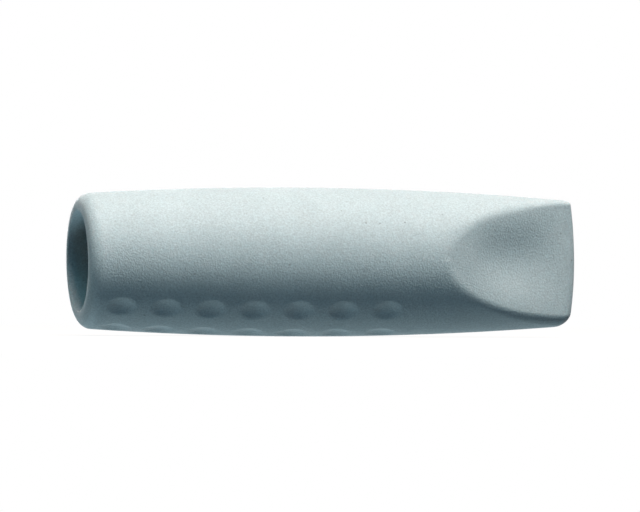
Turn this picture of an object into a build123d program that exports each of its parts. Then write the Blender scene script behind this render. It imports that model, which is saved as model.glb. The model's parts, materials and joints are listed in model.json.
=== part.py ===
"""A pencil eraser topper: one soft moulding that pushes over the blunt end of a pencil.

The barrel lies along X with its open mouth at -X and its chisel tip at +X, and rests on its belly at Z = 0.
All sizes are in millimetres. A station is a distance along the barrel's axis, measured from the mouth.
"""

import os
from math import asin, cos, radians, sin, sqrt

from build123d import *

# Bore: a tapered lead-in, then a straight wall that grips a standard pencil
pencil_bore_diameter = 7.5
lead_in_flare = 0.3
lead_in_length = 5.0
bore_floor_chamfer = 1.2

# Barrel: a round body whose outline is one long arc, widest at the belly
overall_length = 41.0
mouth_wall = 1.36
belly_bulge = 0.59
belly_station = 18.0

# Mouth: the rounded lip that the pencil enters by
lip_land = 0.26
lip_chamfer = 0.3

# Chisel tip: two slanted flats that leave a blade with a slightly crowned end
tip_thickness = 2.2
tip_crown = 0.45
tip_fillet = 0.45
flat_length = 11.8
flat_rim_fillet = 1.1
bore_to_flat = 3.2

# Dishes: a shallow round hollow in each flat, with a soft rim
dish_to_tip = 5.4
dish_to_flat_rim = 1.15
dish_depth = 0.3
dish_rim_fillet = 4.0

# Grip dimples: shallow hollows in straight rows, centred on the underside
dimple_diameter = 2.35
dimple_depth = 0.17
dimple_margin = 0.4
dimple_pitch = 3.63
dimple_to_flat = 4.0
first_dimple_station = 2.8
dimple_rows = 4
dimple_row_angle = 33.2

# Sizes that follow from the ones above
bore_radius = pencil_bore_diameter / 2
lead_in_radius = bore_radius + lead_in_flare
mouth_radius = lead_in_radius + mouth_wall
belly_radius = mouth_radius + belly_bulge
barrel_sweep_radius = (belly_station**2 + belly_bulge**2) / (2 * belly_bulge)
lip_fillet = mouth_wall - lip_land - lip_chamfer
flat_start = overall_length - flat_length
bore_depth = flat_start - bore_to_flat
dimple_radius = dimple_diameter / 2
dimple_ball_radius = (dimple_radius**2 + dimple_depth**2) / (2 * dimple_depth)
dimple_columns = 1 + int((flat_start - dimple_to_flat - first_dimple_station) / dimple_pitch)
dimple_stations = [first_dimple_station + column * dimple_pitch for column in range(dimple_columns)]
dimple_angles = [(row - (dimple_rows - 1) / 2) * dimple_row_angle for row in range(dimple_rows)]

# The part is centred along X, and its belly touches Z = 0
mouth_x = -overall_length / 2
axis_height = belly_radius
barrel_axis = Axis((mouth_x, 0, axis_height), (1, 0, 0))
profile_plane = Plane(origin=(mouth_x, 0, axis_height), x_dir=(1, 0, 0), z_dir=(0, -1, 0))


def barrel_radius(station):
    """Outside radius of the plain barrel at a station."""
    return belly_radius - barrel_sweep_radius + sqrt(barrel_sweep_radius**2 - (station - belly_station) ** 2)


# Slope of the flats, from the barrel's skin to the tip, and the dish that they have room for
flat_start_radius = barrel_radius(flat_start)
flat_slope = (flat_start_radius - tip_thickness / 2) / flat_length
dish_station = overall_length - dish_to_tip


def flat_height(station):
    """Distance from the barrel's axis to a flat."""
    return flat_start_radius - flat_slope * (station - flat_start)


flat_half_width = sqrt(barrel_radius(dish_station) ** 2 - flat_height(dish_station) ** 2)
dish_radius = flat_half_width - dish_to_flat_rim
dish_ball_radius = (dish_radius**2 + dish_depth**2) / (2 * dish_depth)


def flat_plane(station, side):
    """Plane on a flat, at a station on its middle line. Side is -1 for the front flat, 1 for the back one."""
    foot = (mouth_x + station, side * flat_height(station), axis_height)
    return Plane(origin=foot, x_dir=(1, -side * flat_slope, 0), z_dir=(flat_slope, side, 0))


def dimple_plane(station, angle):
    """Plane that touches the barrel where a dimple goes, angle degrees round from straight down."""
    radius = barrel_radius(station)
    tilt = asin((station - belly_station) / barrel_sweep_radius)
    round_y = sin(radians(angle))
    round_z = -cos(radians(angle))
    foot = (mouth_x + station, radius * round_y, axis_height + radius * round_z)
    outward = (sin(tilt), cos(tilt) * round_y, cos(tilt) * round_z)
    along = (cos(tilt), -sin(tilt) * round_y, -sin(tilt) * round_z)
    return Plane(origin=foot, x_dir=along, z_dir=outward)


# Cutter for one grip dimple: a slice of a ball that clears its neighbours
with BuildPart() as dimple_cutter:
    with BuildSketch(Plane.XY.offset(-dimple_margin)):
        Circle(dimple_radius + dimple_margin)
    extrude(amount=2 * dimple_margin)
    with Locations((0, 0, dimple_ball_radius - dimple_depth)):
        Sphere(dimple_ball_radius, rotation=(90, 0, 0), mode=Mode.INTERSECT)

# The whole moulding
with BuildPart() as eraser_cap:
    # Barrel, crowned end, lip and bore, turned from one profile
    end_station = overall_length - tip_crown
    end_radius = barrel_radius(end_station)
    crown_radius = (end_radius**2 + tip_crown**2) / (2 * tip_crown)
    with BuildSketch(profile_plane) as section:
        with BuildLine():
            Polyline(
                (overall_length, 0),
                (bore_depth, 0),
                (bore_depth, bore_radius - bore_floor_chamfer),
                (bore_depth - bore_floor_chamfer, bore_radius),
                (lead_in_length, bore_radius),
                (0, lead_in_radius),
                (0, mouth_radius),
            )
            RadiusArc((0, mouth_radius), (end_station, end_radius), barrel_sweep_radius)
            RadiusArc((end_station, end_radius), (overall_length, 0), crown_radius)
        make_face()
        chamfer(section.vertices().group_by(Axis.X)[0].sort_by(Axis.Y)[0], lip_chamfer)
        fillet(section.vertices().group_by(Axis.X)[0].sort_by(Axis.Y)[-1], lip_fillet)
    revolve(axis=barrel_axis)

    # Chisel flats, front and back, with their rims and the blade's end blended
    for side in (-1, 1):
        split(bisect_by=flat_plane(flat_start, side), keep=Keep.BOTTOM)
    flats = eraser_cap.faces().filter_by(lambda face: face.is_planar and abs(face.normal_at().Y) > 0.5)
    flat_rims = flats.edges().filter_by(lambda edge: edge.bounding_box().size.X > flat_length / 2)
    fillet(flat_rims, flat_rim_fillet)
    fillet(eraser_cap.faces().sort_by(Axis.X)[-1].edges(), tip_fillet)

    # Dishes
    for side in (-1, 1):
        with Locations(Location(flat_plane(dish_station, side).offset(dish_ball_radius - dish_depth))):
            Sphere(dish_ball_radius, rotation=(90, 0, 0), mode=Mode.SUBTRACT)
    fillet(eraser_cap.faces().filter_by(GeomType.SPHERE).edges(), dish_rim_fillet)

    # Grip dimples
    dimple_spots = [dimple_plane(station, angle) for station in dimple_stations for angle in dimple_angles]
    with Locations(*[Location(spot) for spot in dimple_spots]):
        add(dimple_cutter.part, mode=Mode.SUBTRACT)

eraser_cap.part.label = "eraser_cap"

os.makedirs("parts", exist_ok=True)
export_step(eraser_cap.part, "parts/eraser_cap.step")
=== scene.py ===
"""Looks of a pencil eraser topper: a moulded grey eraser on a white table, in soft light from above.

Sizes of the eraser are in millimetres, and become metres where a Blender object is made.
A station is a distance along the barrel's axis, measured from the mouth.
An angle goes round the axis from straight up, through the side that the camera sees, to straight down.
"""

import json
import math

import bpy
import numpy as np
from mathutils import Matrix, Vector


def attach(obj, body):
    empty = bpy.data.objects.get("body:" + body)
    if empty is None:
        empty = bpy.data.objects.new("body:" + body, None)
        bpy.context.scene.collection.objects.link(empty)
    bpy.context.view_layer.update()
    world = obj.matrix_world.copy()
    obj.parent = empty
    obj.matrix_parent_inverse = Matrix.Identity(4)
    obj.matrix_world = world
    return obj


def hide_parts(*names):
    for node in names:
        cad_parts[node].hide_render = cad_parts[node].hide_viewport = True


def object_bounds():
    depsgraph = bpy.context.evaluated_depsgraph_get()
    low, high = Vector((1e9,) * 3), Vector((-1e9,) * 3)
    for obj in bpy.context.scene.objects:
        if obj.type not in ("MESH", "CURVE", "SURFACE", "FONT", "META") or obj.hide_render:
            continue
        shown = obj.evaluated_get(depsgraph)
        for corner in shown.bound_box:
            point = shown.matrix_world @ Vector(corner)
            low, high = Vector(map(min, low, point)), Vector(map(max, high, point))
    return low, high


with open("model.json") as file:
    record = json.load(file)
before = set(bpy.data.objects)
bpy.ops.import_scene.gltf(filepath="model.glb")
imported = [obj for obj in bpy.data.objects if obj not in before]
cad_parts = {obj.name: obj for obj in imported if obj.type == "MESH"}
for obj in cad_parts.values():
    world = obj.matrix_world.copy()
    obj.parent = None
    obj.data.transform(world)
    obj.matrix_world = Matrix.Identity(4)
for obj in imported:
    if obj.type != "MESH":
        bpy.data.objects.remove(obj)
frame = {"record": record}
cad_low, cad_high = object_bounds()

MM = 0.001

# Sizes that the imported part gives
bore_mount = frame["record"]["mounts"][0]
bore_radius = bore_mount["dims"]["r_mm"]
axis_height = bore_mount["pos_m"][2] / MM
mouth_x = cad_low.x / MM
overall_length = (cad_high.x - cad_low.x) / MM
belly_radius = (cad_high.y - cad_low.y) / 2 / MM

# Bore and lip
lead_in_flare = 0.3
lead_in_length = 5.0
bore_floor_fillet = 1.2
bore_to_flat = 3.2
lip_inner_fillet = 0.12
lip_outer_fillet = 1.15
lip_set_back = 0.18
lip_askew_length = 3.0

# Barrel
belly_bulge = 0.59
belly_station = 18.0

# Chisel tip: two flats, turned a little against the dimple rows, and a crowned end
tip_thickness = 2.2
tip_crown = 0.45
tip_shear_length = 4.0
flat_length = 11.8
flat_lean = 2.8
lean_start = 27.0
lean_end = 28.4

# Rounding of the end's edge, along the axis and across it, at heights that are shares of the end's radius
tip_round_heights = [-1.0, 0.3, 1.0]
tip_round_back = [1.15, 0.8, 0.8]
tip_round_in = [1.15, 0.7, 0.2]

# Rounding of the flats' rims: it settles after their start, and changes again near the tip
flat_rim_fillet = 1.1
flat_rim_fillet_at_start_top = 4.0
flat_rim_fillet_at_start_bottom = 2.0
flat_rim_settles = 32.0
flat_rim_fillet_at_tip_top = 0.4
flat_rim_fillet_at_tip_bottom = 1.1
flat_rim_changes_from = 35.5
flat_rim_changes_to = 39.5
least_rim_fillet = 0.01

# Dish: a shallow trough along the middle of each flat
dish_depth = 0.43
dish_start = 31.33
dish_end = 39.83
dish_width_share = 0.865
least_half_width_squared = 0.1

# Grip dimples
dimple_diameter = 2.1
dimple_depth = 0.19
dimple_rim_blend = 0.1
dimple_pitch = 3.63
first_dimple_station = 2.8
dimple_columns = 7
dimple_rows = 4
dimple_row_angle = 32.7

# Rubber: the sizes of its grain, clouds, sheen, skin and specks, and how strongly they show
rubber_colour = (0.5, 0.6, 0.63)
rubber_roughness = 0.6
rubber_roughness_spread = 0.25
rubber_specular = 0.32
grain_feature = 0.14
grain_gain = 0.75
grain_detail = 3
cloud_feature = 3.0
cloud_gain = 0.15
cloud_detail = 2
sheen_feature = 1.0
sheen_detail = 3
skin_feature = 0.15
skin_depth = 0.045
skin_detail = 4
speck_spacing = 2.2
speck_radius = 0.12
speck_core_radius = 0.04
speck_darkness = 0.4

# Stage and light, in metres and degrees
table_half_width = 3.0
table_colour = (0.92, 0.92, 0.92)
table_fade_start = 0.05
table_fade_end = 0.2
table_glow_near = 0.88
light_distance = 0.6
soft_boxes = [
    {"name": "key_light", "bearing": 12, "elevation": 66, "size": 0.3, "colour": (1.06, 1.085, 1.0)},
    {"name": "top_light", "bearing": 12, "elevation": 80, "size": 0.3, "colour": (0.3, 0.08, 0.05)},
    {"name": "front_fill", "bearing": 0, "elevation": 30, "size": 0.3, "colour": (0.01, 0.075, 0.12)},
    {"name": "left_fill", "bearing": -90, "elevation": 60, "size": 0.3, "colour": (0.06, 0.118, 0.13)},
    {"name": "right_fill", "bearing": 90, "elevation": 25, "size": 0.3, "colour": (0.04, 0.045, 0.05)},
    {"name": "back_fill", "bearing": 180, "elevation": 8, "size": 0.3, "colour": (0.26, 0.26, 0.27)},
    {
        "name": "under_light",
        "bearing": -142,
        "elevation": -60,
        "size": 0.25,
        "colour": (0.214, 0.308, 0.346),
    },
]

# Camera, in metres and degrees, with its aim and scale in millimetres
camera_azimuth = -13.0
camera_roll = 0.32
camera_distance = 1.0
camera_aim_x = -0.45
camera_aim_above_axis = 0.49
image_width = 640
mm_per_pixel = 0.0806

# Mesh density: points round the axis, then rings along the bore, lip, barrel, chisel and end
columns_upper = 46
columns_lower = 76
dense_angles = 240
bisections = 36
search_from_radius = 0.2
search_past_belly = 0.5
floor_first_radius = 0.4
floor_rings = 6
fillet_rings = 9
wall_rings = 14
lead_in_rings = 12
lip_rings = 13
lip_ring_gap = 0.15
dimple_ring_spacing = 0.14
chisel_ring_spacing = 0.2
crown_ring_shares = (0.97, 0.92, 0.85, 0.75, 0.62, 0.48, 0.34, 0.2, 0.08)

# Sizes that follow
mouth_radius = belly_radius - belly_bulge
barrel_sweep_radius = (belly_station**2 + belly_bulge**2) / (2 * belly_bulge)
lead_in_radius = bore_radius + lead_in_flare
flat_start = overall_length - flat_length
bore_depth = flat_start - bore_to_flat
dimple_ball_radius = ((dimple_diameter / 2) ** 2 + dimple_depth**2) / (2 * dimple_depth)


def barrel_radius(station):
    """Outside radius of the plain barrel at a station."""
    drop = barrel_sweep_radius - np.sqrt(barrel_sweep_radius**2 - (station - belly_station) ** 2)
    return belly_radius - drop


def barrel_slope(station):
    """How fast the barrel's radius grows along the axis."""
    return (belly_station - station) / barrel_sweep_radius


end_radius = barrel_radius(overall_length - tip_crown)
flat_start_radius = barrel_radius(flat_start)
flat_slope = (tip_thickness / 2 - flat_start_radius) / flat_length


def flat_height(station):
    """Distance from the axis to a chisel flat, without its dish."""
    return flat_start_radius + flat_slope * (station - flat_start)


def dish_half_width(station):
    """Half of the dish's width, a share of the flat's."""
    half_width_squared = barrel_radius(station) ** 2 - flat_height(station) ** 2
    return dish_width_share * np.sqrt(np.maximum(half_width_squared, least_half_width_squared))


def dish_depth_along(station):
    """Depth of the dish on its middle line, which swells and fades along the flat."""
    share = np.clip((station - dish_start) / (dish_end - dish_start), 0, 1)
    return dish_depth * np.sin(math.pi * share)


def ease(share):
    """A share from 0 to 1 that starts and ends gently."""
    return share**2 * (3 - 2 * share)


def smooth_max(first, second, blend):
    """The larger of two distances, with a round blend where they meet."""
    over_first = np.maximum(first + blend, 0)
    over_second = np.maximum(second + blend, 0)
    return np.minimum(np.maximum(first, second), -blend) + np.hypot(over_first, over_second)


def rim_fillet(station, up):
    """Rounding of the flats' rims: soft where they start, and at the tip sharper above than below."""
    start_share = np.clip((flat_rim_settles - station) / (flat_rim_settles - flat_start), 0, 1)
    tip_share = (station - flat_rim_changes_from) / (flat_rim_changes_to - flat_rim_changes_from)
    at_tip = np.where(up > 0, flat_rim_fillet_at_tip_top, flat_rim_fillet_at_tip_bottom)
    at_start = np.where(up > 0, flat_rim_fillet_at_start_top, flat_rim_fillet_at_start_bottom)
    softer = (at_start - flat_rim_fillet) * start_share
    return flat_rim_fillet + softer + (at_tip - flat_rim_fillet) * np.clip(tip_share, 0, 1)


def body_distance(station, angle, radius):
    """Below zero inside the barrel and between its two flats, and above zero outside."""
    side = np.abs(np.sin(angle))
    up = np.cos(angle)
    depth = dish_depth_along(station)
    half_width = dish_half_width(station)
    across = np.clip(radius * up / half_width, -1, 1) * math.pi / 2
    dish_slope = depth * math.pi / (2 * half_width) * np.sin(2 * across)
    steepness = np.sqrt(1 + flat_slope**2 + dish_slope**2)
    from_barrel = radius - barrel_radius(station)
    from_flat = (radius * side - flat_height(station) + depth * np.cos(across) ** 2) / steepness
    facing = (side + barrel_slope(station) * flat_slope - up * dish_slope) / steepness
    half_turn = np.sqrt((1 + np.clip(facing, 0, 1)) / 2)
    blend = rim_fillet(station, up) * (1 - half_turn) / (1 - math.sqrt(0.5))
    return smooth_max(from_barrel, from_flat, np.maximum(blend, least_rim_fillet))


def body_radius(station, angle):
    """Distance from the axis to the moulding's skin, without its dimples."""
    low = np.full_like(angle, search_from_radius)
    high = np.full_like(angle, belly_radius + search_past_belly)
    for _ in range(bisections):
        middle = (low + high) / 2
        outside = body_distance(station, angle, middle) > 0
        high = np.where(outside, middle, high)
        low = np.where(outside, low, middle)
    return (low + high) / 2


def dimple_hollow(station, angle):
    """How deep the grip dimples go below the barrel: round hollows that a ball would press."""
    hollow = np.zeros_like(angle)
    for row in range(dimple_rows):
        row_angle = math.pi + math.radians((row - (dimple_rows - 1) / 2) * dimple_row_angle)
        around = belly_radius * np.sin(angle - row_angle)
        fall = belly_radius * (1 - np.cos(angle - row_angle))
        for column in range(dimple_columns):
            along = station - first_dimple_station - column * dimple_pitch
            depth = dimple_depth - fall - (along**2 + around**2) / (2 * dimple_ball_radius)
            hollow += smooth_max(np.zeros_like(angle), depth, dimple_rim_blend)
    return hollow


def quarter_angles(quarter):
    """Angles of one quarter turn, counted from straight up."""
    return np.linspace(0, math.pi / 2, dense_angles) + quarter * math.pi / 2


quarter_columns = [columns_upper, columns_lower, columns_lower, columns_upper]


def even_columns(quarter, station):
    """Angles of one quarter of a section, evenly spaced along its outline."""
    angle = quarter_angles(quarter)
    radius = body_radius(station, angle)
    points = np.stack([radius * np.sin(angle), radius * np.cos(angle)], 1)
    length = np.concatenate([[0], np.cumsum(np.linalg.norm(np.diff(points, axis=0), axis=1))])
    wanted = np.linspace(0, length[-1], quarter_columns[quarter] + 1)[:-1]
    return np.interp(wanted, length, angle)


round_angles = np.concatenate(
    [np.linspace(q, q + 1, n + 1)[:-1] * math.pi / 2 for q, n in enumerate(quarter_columns)]
)


def ring(station, angle, radius):
    """Points round the axis: X along it, -Y towards the camera's side."""
    station = np.broadcast_to(station, angle.shape)
    return np.stack([station, -radius * np.sin(angle), radius * np.cos(angle)], 1)


def turned_ring(station, radius):
    """A round ring about the axis."""
    return ring(station, round_angles, np.full_like(round_angles, radius))


def arc(centre, radius, start, stop, steps):
    """Points (station, radius) on an arc, with angles in degrees from the direction of the tip."""
    turns = np.radians(np.linspace(start, stop, steps))
    return [(centre[0] + radius * math.cos(t), centre[1] + radius * math.sin(t)) for t in turns]


def line(start, stop, steps):
    """Evenly spaced points (station, radius) on a straight line."""
    return [tuple(p) for p in np.linspace(start, stop, steps)]


def inner_profile():
    """Outline of the bore and lip, from the bore's floor round to the barrel."""
    floor_corner = (bore_depth - bore_floor_fillet, bore_radius - bore_floor_fillet)
    lead_angle = math.degrees(math.atan2(lead_in_flare, lead_in_length))
    inner_centre = (lip_inner_fillet, lead_in_radius + lip_inner_fillet)
    lip_slope = math.degrees(math.atan(barrel_slope(lip_outer_fillet)))
    outer_centre = (lip_outer_fillet, barrel_radius(lip_outer_fillet) - lip_outer_fillet)
    points = line((bore_depth, floor_first_radius), (bore_depth, floor_corner[1]), floor_rings)[:-1]
    points += arc(floor_corner, bore_floor_fillet, 0, 90, fillet_rings)
    points += line((floor_corner[0], bore_radius), (lead_in_length, bore_radius), wall_rings)[1:]
    points += line((lead_in_length, bore_radius), (lip_inner_fillet, lead_in_radius), lead_in_rings)[1:-1]
    points += arc(inner_centre, lip_inner_fillet, 270 - lead_angle, 180, fillet_rings)
    points += arc(outer_centre, lip_outer_fillet, 180, 90 + lip_slope, lip_rings)
    return points


def span(start, stop, spacing):
    """Evenly spaced stations from start to stop, without the last."""
    return np.linspace(start, stop, round((stop - start) / spacing) + 1)[:-1]


def end_drop(radius):
    """How far the crowned end falls back from its middle."""
    return tip_crown * (radius / end_radius) ** 2


def tip_round(height):
    """How far the rounding of the end's edge goes back along the axis, and in towards it."""
    share = height / end_radius
    back = np.interp(share, tip_round_heights, tip_round_back)
    return back, np.interp(share, tip_round_heights, tip_round_in)


def outline_normals(points):
    """Outward directions of a closed outline across the axis."""
    ahead = np.roll(points, -1, axis=0) - np.roll(points, 1, axis=0)
    normal = np.stack([ahead[:, 1], -ahead[:, 0]], 1)
    normal /= np.linalg.norm(normal, axis=1, keepdims=True)
    return normal * np.sign(np.sum(normal * points, 1).mean())


def lean(station):
    """Turn of the chisel about the axis, against the grip dimples."""
    share = np.clip((station - lean_start) / (lean_end - lean_start), 0, 1)
    return math.radians(flat_lean) * ease(share)


def body_rings():
    """Rings from the lip to the rounded edge of the crowned end."""
    last_dimples = first_dimple_station + (dimple_columns - 1) * dimple_pitch + dimple_diameter
    rings = []
    for station in span(lip_outer_fillet + lip_ring_gap, last_dimples, dimple_ring_spacing):
        radius = barrel_radius(station) - dimple_hollow(station, round_angles)
        rings.append(ring(station, round_angles, radius))
    last = overall_length - tip_crown
    for base in np.concatenate([span(last_dimples, last, chisel_ring_spacing), [last]]):
        angle = np.concatenate([even_columns(q, base) for q in range(len(quarter_columns))])
        radius = body_radius(base, angle)
        share = np.clip((base - last + tip_shear_length) / tip_shear_length, 0, 1)
        back, _ = tip_round(radius * np.cos(angle))
        set_back = overall_length - end_drop(radius) - back - last
        station = base + ease(share) * set_back
        rings.append(ring(station, angle - lean(base), body_radius(station, angle)))
    return rings


def end_rings(edge):
    """Rings that round the end's edge and close over its crown."""
    outline = edge[:, 1:]
    normal = outline_normals(outline)
    back, inward = tip_round(outline[:, 1])
    rings = []
    for turn in np.radians(np.linspace(0, 90, fillet_rings))[1:]:
        inset = outline - normal * (inward * (1 - math.cos(turn)))[:, None]
        station = overall_length - end_drop(np.linalg.norm(inset, axis=1)) - back * (1 - math.sin(turn))
        rings.append(np.column_stack([station, inset]))
    inner = rings[-1][:, 1:]
    for share in crown_ring_shares:
        spot = inner * share
        rings.append(np.column_stack([overall_length - end_drop(np.linalg.norm(spot, axis=1)), spot]))
    return rings


def closed_mesh(name, rings, first_point, last_point):
    """A closed skin through rings of equal counts, with a fan at each end."""
    count = len(rings[0])
    points = np.concatenate([[first_point], *rings, [last_point]])
    points = points + [mouth_x, 0, axis_height]
    following = np.roll(np.arange(count), -1)
    faces = [(0, 1 + following[j], 1 + j) for j in range(count)]
    for i in range(len(rings) - 1):
        here = 1 + i * count
        there = here + count
        faces += [(here + j, here + following[j], there + following[j], there + j) for j in range(count)]
    last = len(points) - 1
    here = 1 + (len(rings) - 1) * count
    faces += [(here + j, here + following[j], last) for j in range(count)]
    mesh = bpy.data.meshes.new(name)
    mesh.from_pydata((points * MM).tolist(), [], [tuple(int(i) for i in face) for face in faces])
    mesh.polygons.foreach_set("use_smooth", [True] * len(mesh.polygons))
    mesh.update()
    return mesh


def askew(points):
    """Moves the mouth's lower half back a little, as it came out of the trim."""
    near = np.clip(1 - points[:, 0] / lip_askew_length, 0, 1)
    low = np.clip((1 - points[:, 2] / mouth_radius) / 2, 0, 1)
    return points + np.outer(lip_set_back * near * low, (1, 0, 0))


def build_eraser():
    """The whole moulding as one closed skin, from the bore's floor over the lip to the chisel's end."""
    rings = [turned_ring(station, radius) for station, radius in inner_profile()]
    rings += body_rings()
    rings += end_rings(rings[-1])
    rings = [askew(points) for points in rings]
    mesh = closed_mesh("eraser_body", rings, (bore_depth, 0, 0), (overall_length, 0, 0))
    piece = bpy.data.objects.new("eraser_body", mesh)
    bpy.context.scene.collection.objects.link(piece)
    return piece


def new_nodes(tree):
    """Starts a node tree afresh and returns a function that adds a node with its settings."""
    tree.nodes.clear()

    def add(kind, **settings):
        node = tree.nodes.new(kind)
        for name, value in settings.items():
            setattr(node, name, value)
        return node

    return add


def linked_math(tree, add, operation, first, second):
    """Adds a math node between two sockets or plain numbers."""
    node = add("ShaderNodeMath", operation=operation)
    for socket, value in zip(node.inputs, (first, second)):
        if isinstance(value, (int, float)):
            socket.default_value = value
        else:
            tree.links.new(value, socket)
    return node.outputs[0]


def noise_about_zero(tree, add, place, feature, detail, gain):
    """Noise with features of a given size in millimetres, spread about zero."""
    noise = add("ShaderNodeTexNoise")
    noise.inputs["Scale"].default_value = 1 / (feature * MM)
    noise.inputs["Detail"].default_value = detail
    tree.links.new(place.outputs["Object"], noise.inputs["Vector"])
    centred = linked_math(tree, add, "SUBTRACT", noise.outputs["Fac"], 0.5)
    return linked_math(tree, add, "MULTIPLY", centred, gain)


def sparse_specks(tree, add, place):
    """1 inside a few dark specks of filler in the compound, and 0 elsewhere."""
    cells = add("ShaderNodeTexVoronoi")
    cells.inputs["Scale"].default_value = 1 / (speck_spacing * MM)
    tree.links.new(place.outputs["Object"], cells.inputs["Vector"])
    inside = add("ShaderNodeMapRange", interpolation_type="SMOOTHSTEP")
    inside.inputs["From Min"].default_value = speck_radius / speck_spacing
    inside.inputs["From Max"].default_value = speck_core_radius / speck_spacing
    tree.links.new(cells.outputs["Distance"], inside.inputs["Value"])
    return inside.outputs["Result"]


def rubber_material():
    """Matte grey eraser compound: fine grain, faint clouds, a few dark specks and an uneven skin."""
    material = bpy.data.materials.new("eraser_rubber")
    material.use_nodes = True
    tree = material.node_tree
    add = new_nodes(tree)
    place = add("ShaderNodeTexCoord")
    grain = noise_about_zero(tree, add, place, grain_feature, grain_detail, grain_gain)
    clouds = noise_about_zero(tree, add, place, cloud_feature, cloud_detail, cloud_gain)
    specks = linked_math(tree, add, "MULTIPLY", sparse_specks(tree, add, place), speck_darkness)
    tone = linked_math(tree, add, "ADD", linked_math(tree, add, "ADD", grain, clouds), 1.0)
    tone = linked_math(tree, add, "SUBTRACT", tone, specks)
    colour = add("ShaderNodeVectorMath", operation="SCALE")
    colour.inputs[0].default_value = rubber_colour
    tree.links.new(tone, colour.inputs["Scale"])
    skin = noise_about_zero(tree, add, place, skin_feature, skin_detail, 1.0)
    bump = add("ShaderNodeBump")
    bump.inputs["Distance"].default_value = skin_depth * MM
    tree.links.new(skin, bump.inputs["Height"])
    sheen = noise_about_zero(tree, add, place, sheen_feature, sheen_detail, rubber_roughness_spread)
    roughness = linked_math(tree, add, "ADD", sheen, rubber_roughness)
    shader = add("ShaderNodeBsdfPrincipled")
    shader.inputs["Specular IOR Level"].default_value = rubber_specular
    tree.links.new(colour.outputs["Vector"], shader.inputs["Base Color"])
    tree.links.new(roughness, shader.inputs["Roughness"])
    tree.links.new(bump.outputs["Normal"], shader.inputs["Normal"])
    output = add("ShaderNodeOutputMaterial")
    tree.links.new(shader.outputs[0], output.inputs["Surface"])
    return material


def seen_directly(tree, add):
    """1 for rays that show the stage, straight or by a mirror or glass, and 0 for light that it gives."""
    rays = add("ShaderNodeLightPath").outputs
    mirrored = linked_math(tree, add, "MAXIMUM", rays["Is Camera Ray"], rays["Is Glossy Ray"])
    return linked_math(tree, add, "MAXIMUM", mirrored, rays["Is Transmission Ray"])


def table_material():
    """White, with the eraser's shadow, and pure white far off."""
    material = bpy.data.materials.new("table_white")
    material.use_nodes = True
    tree = material.node_tree
    add = new_nodes(tree)
    white = add("ShaderNodeBsdfDiffuse")
    white.inputs["Color"].default_value = (*table_colour, 1)
    place = add("ShaderNodeTexCoord")
    length = add("ShaderNodeVectorMath", operation="LENGTH")
    tree.links.new(place.outputs["Object"], length.inputs[0])
    fade = add("ShaderNodeMapRange", interpolation_type="SMOOTHSTEP")
    fade.inputs["From Min"].default_value = table_fade_start
    fade.inputs["From Max"].default_value = table_fade_end
    fade.inputs["To Min"].default_value = table_glow_near
    tree.links.new(length.outputs["Value"], fade.inputs["Value"])
    glow = add("ShaderNodeEmission")
    far = add("ShaderNodeMixShader")
    tree.links.new(fade.outputs["Result"], far.inputs[0])
    tree.links.new(white.outputs[0], far.inputs[1])
    tree.links.new(glow.outputs[0], far.inputs[2])
    output = add("ShaderNodeOutputMaterial")
    tree.links.new(far.outputs[0], output.inputs["Surface"])
    return material


def add_floor():
    """A white light table, wide enough to fill every view: the light below shines through it."""
    half = table_half_width
    mesh = bpy.data.meshes.new("floor")
    corners = [(-half, -half, 0), (half, -half, 0), (half, half, 0), (-half, half, 0)]
    mesh.from_pydata(corners, [], [(0, 1, 2, 3)])
    floor = bpy.data.objects.new("floor", mesh)
    bpy.context.scene.collection.objects.link(floor)
    mesh.materials.append(table_material())
    floor.visible_diffuse = False
    floor.visible_shadow = False


def add_world():
    """A white backdrop, which the eraser's sheen mirrors and which gives no other light."""
    world = bpy.data.worlds.new("studio")
    bpy.context.scene.world = world
    world.use_nodes = True
    tree = world.node_tree
    add = new_nodes(tree)
    backdrop = add("ShaderNodeBackground")
    backdrop.inputs["Color"].default_value = (1, 1, 1, 1)
    tree.links.new(seen_directly(tree, add), backdrop.inputs["Strength"])
    output = add("ShaderNodeOutputWorld")
    tree.links.new(backdrop.outputs[0], output.inputs["Surface"])


def from_bearing(bearing, elevation):
    """Direction towards a place round the eraser: bearing 0 is the side of -Y, and 90 that of +X."""
    turn = math.radians(bearing)
    lift = math.radians(elevation)
    return Vector((math.sin(turn) * math.cos(lift), -math.cos(turn) * math.cos(lift), math.sin(lift)))


def add_soft_box(name, bearing, elevation, size, colour):
    """A round soft light. A white surface at the eraser's place that faces it renders in its colour."""
    direction = from_bearing(bearing, elevation)
    light = bpy.data.lights.new(name, "AREA")
    light.shape = "DISK"
    light.size = size
    light.energy = math.pi**2 * (light_distance**2 + (size / 2) ** 2)
    light.color = colour
    lamp = bpy.data.objects.new(name, light)
    lamp.location = direction * light_distance
    lamp.rotation_euler = direction.to_track_quat("Z", "Y").to_euler()
    lamp.visible_camera = False
    bpy.context.scene.collection.objects.link(lamp)


def add_camera():
    """A long lens, level with the eraser and turned a little towards its mouth."""
    aim = Vector((camera_aim_x, 0, axis_height + camera_aim_above_axis)) * MM
    camera = bpy.data.cameras.new("camera")
    camera.lens = camera.sensor_width * camera_distance / (image_width * mm_per_pixel * MM)
    holder = bpy.data.objects.new("camera", camera)
    back = from_bearing(camera_azimuth, 0)
    upright = back.to_track_quat("Z", "Y").to_matrix()
    holder.location = aim + back * camera_distance
    holder.rotation_euler = (upright @ Matrix.Rotation(math.radians(camera_roll), 3, "Z")).to_euler()
    bpy.context.scene.collection.objects.link(holder)
    bpy.context.scene.camera = holder


bpy.context.scene.view_settings.view_transform = "Standard"
eraser = build_eraser()
eraser.data.materials.append(rubber_material())
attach(eraser, "root")
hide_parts("eraser_cap")
add_floor()
add_world()
for soft_box in soft_boxes:
    add_soft_box(**soft_box)
add_camera()
